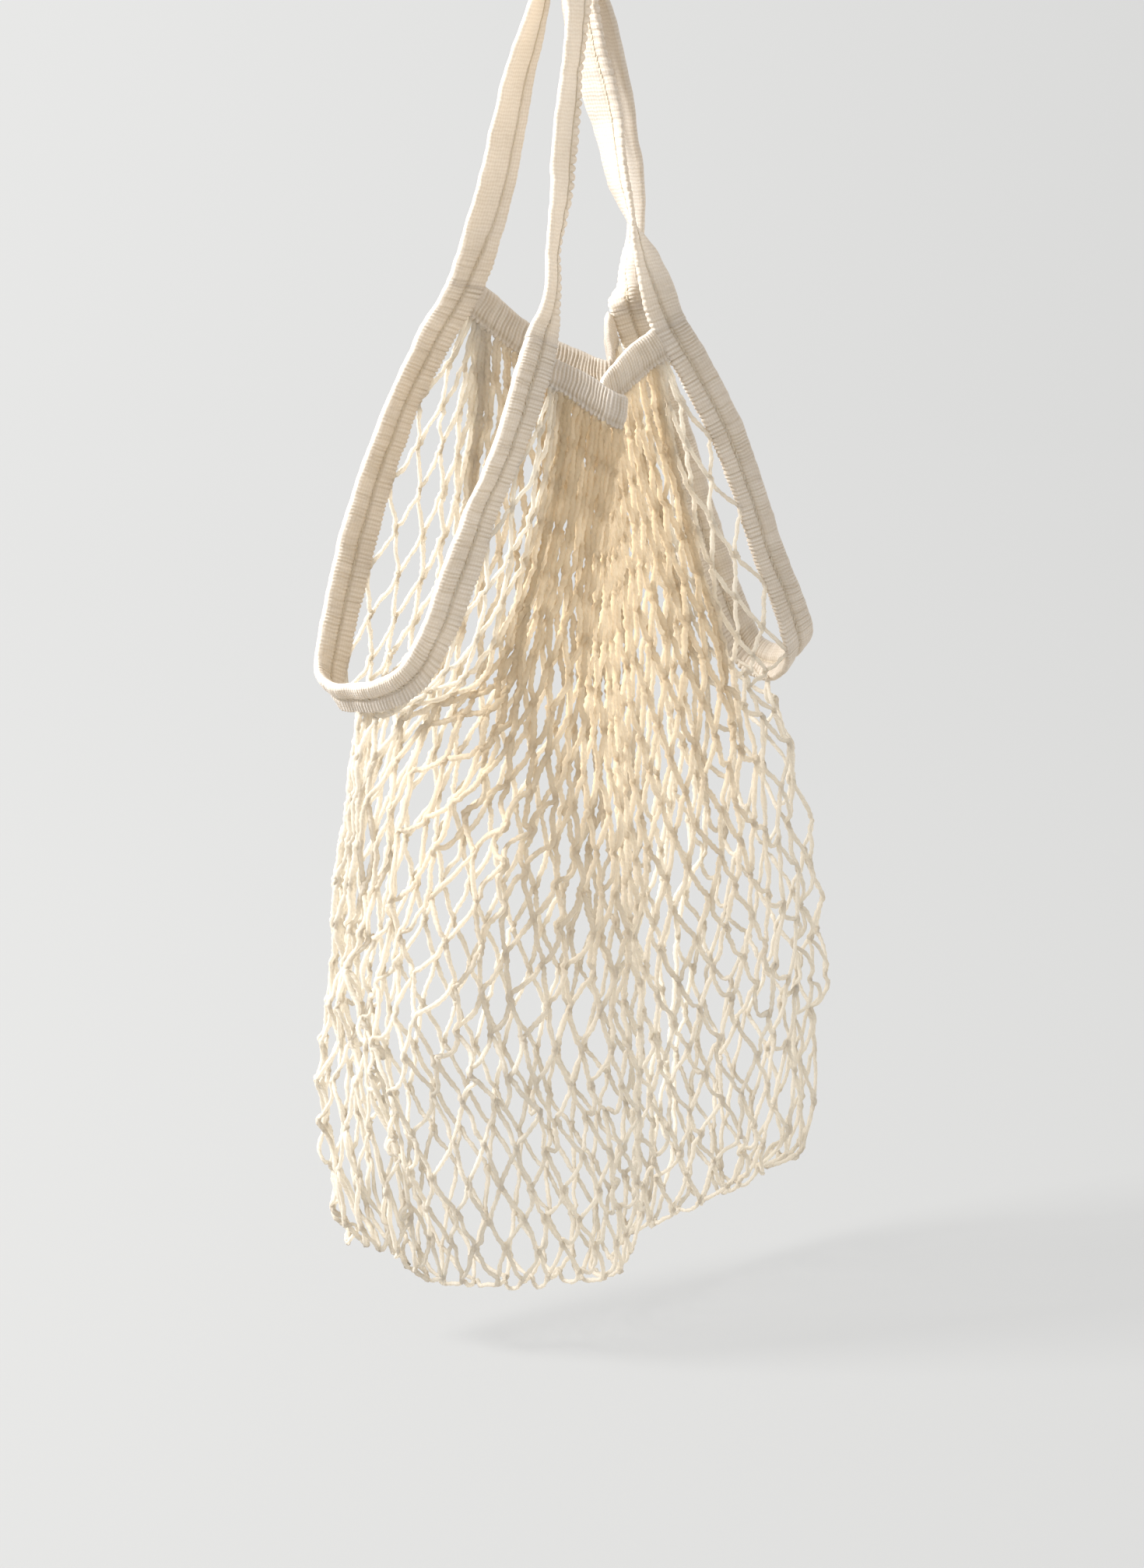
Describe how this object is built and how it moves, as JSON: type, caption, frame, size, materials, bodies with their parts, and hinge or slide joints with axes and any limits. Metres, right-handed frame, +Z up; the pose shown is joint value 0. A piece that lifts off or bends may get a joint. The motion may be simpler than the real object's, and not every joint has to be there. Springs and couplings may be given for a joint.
{
  "type": "net tote bag",
  "caption": "Soft cotton net carrying bag hanging by two tape handles, with tape-bound side slits, gathered mouth bands and an open knotted net body.",
  "frame": {"origin": "the point under the tops of the two handles, where the bag hangs", "axes": "+Z up, -Y the front of the bag, X across the bag from the left slit to the right slit"},
  "size_m": [0.3033, 0.1389, 0.6659],
  "materials": {
    "cotton_tape": "matte ribbed ecru cotton tape",
    "cotton_net": "matte twisted ecru cotton yarn"
  },
  "bodies": {
    "root": {"front_handle": "cotton_tape", "back_handle": "cotton_tape", "left_slit_binding": "cotton_tape", "right_slit_binding": "cotton_tape", "front_mouth_band": "cotton_tape", "back_mouth_band": "cotton_tape", "net_front": "cotton_net", "net_back": "cotton_net"}
  },
  "joints": []
}
